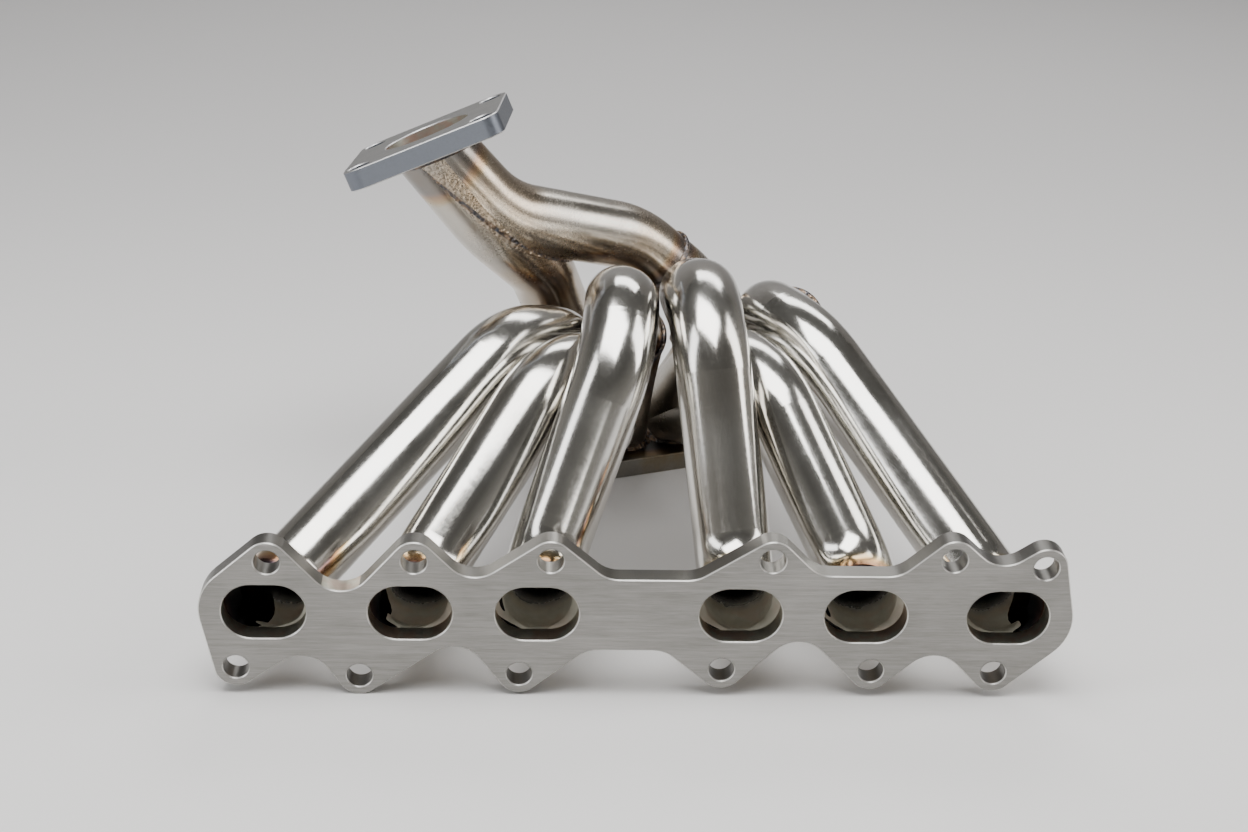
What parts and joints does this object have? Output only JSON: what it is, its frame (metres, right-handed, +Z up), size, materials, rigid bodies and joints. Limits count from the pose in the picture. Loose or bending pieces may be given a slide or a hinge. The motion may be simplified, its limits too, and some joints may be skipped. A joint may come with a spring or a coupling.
{
  "type": "exhaust manifold",
  "caption": "Tubular exhaust manifold with a scalloped port flange, swept runners, paired collectors, a divided turbocharger flange and a branched wastegate outlet",
  "frame": {"origin": "on the gasket face of the head flange, midway between the outer ports, at the height of the port centres", "axes": "+X along the head flange, +Y from the gasket face towards the turbocharger, +Z up"},
  "size_m": [0.382, 0.3165, 0.2168],
  "materials": {
    "head_flange_steel": "stainless plate, ground along its length",
    "turbo_flange_steel": "stainless plate, milled edge, slightly heat stained",
    "wastegate_flange_steel": "stainless plate, milled edges",
    "runner_tube": "mirror-polished stainless tube",
    "branch_tube": "polished stainless tube with straw heat tint by the welds",
    "collector_steel": "satin stainless, lightly heat tinted",
    "weld_bead": "rippled weld metal with heat colours"
  },
  "bodies": {
    "root": {"branch_collector_weld_left": "weld_bead", "branch_collector_weld_right": "weld_bead", "branch_crotch_weld": "weld_bead", "branch_seam_weld": "weld_bead", "collector_left": "collector_steel", "collector_right": "collector_steel", "head_flange": "head_flange_steel", "port_weld_1": "weld_bead", "port_weld_2": "weld_bead", "port_weld_3": "weld_bead", "port_weld_4": "weld_bead", "port_weld_5": "weld_bead", "port_weld_6": "weld_bead", "runner_1": "runner_tube", "runner_2": "runner_tube", "runner_3": "runner_tube", "runner_4": "runner_tube", "runner_5": "runner_tube", "runner_6": "runner_tube", "runner_collector_weld_1": "weld_bead", "runner_collector_weld_2": "weld_bead", "runner_collector_weld_3": "weld_bead", "runner_collector_weld_4": "weld_bead", "runner_collector_weld_5": "weld_bead", "runner_collector_weld_6": "weld_bead", "turbo_flange": "turbo_flange_steel", "turbo_flange_weld": "weld_bead", "wastegate_branch_elbow": "branch_tube", "wastegate_branch_left": "branch_tube", "wastegate_branch_right": "branch_tube", "wastegate_flange": "wastegate_flange_steel", "wastegate_flange_weld": "weld_bead"}
  },
  "joints": []
}
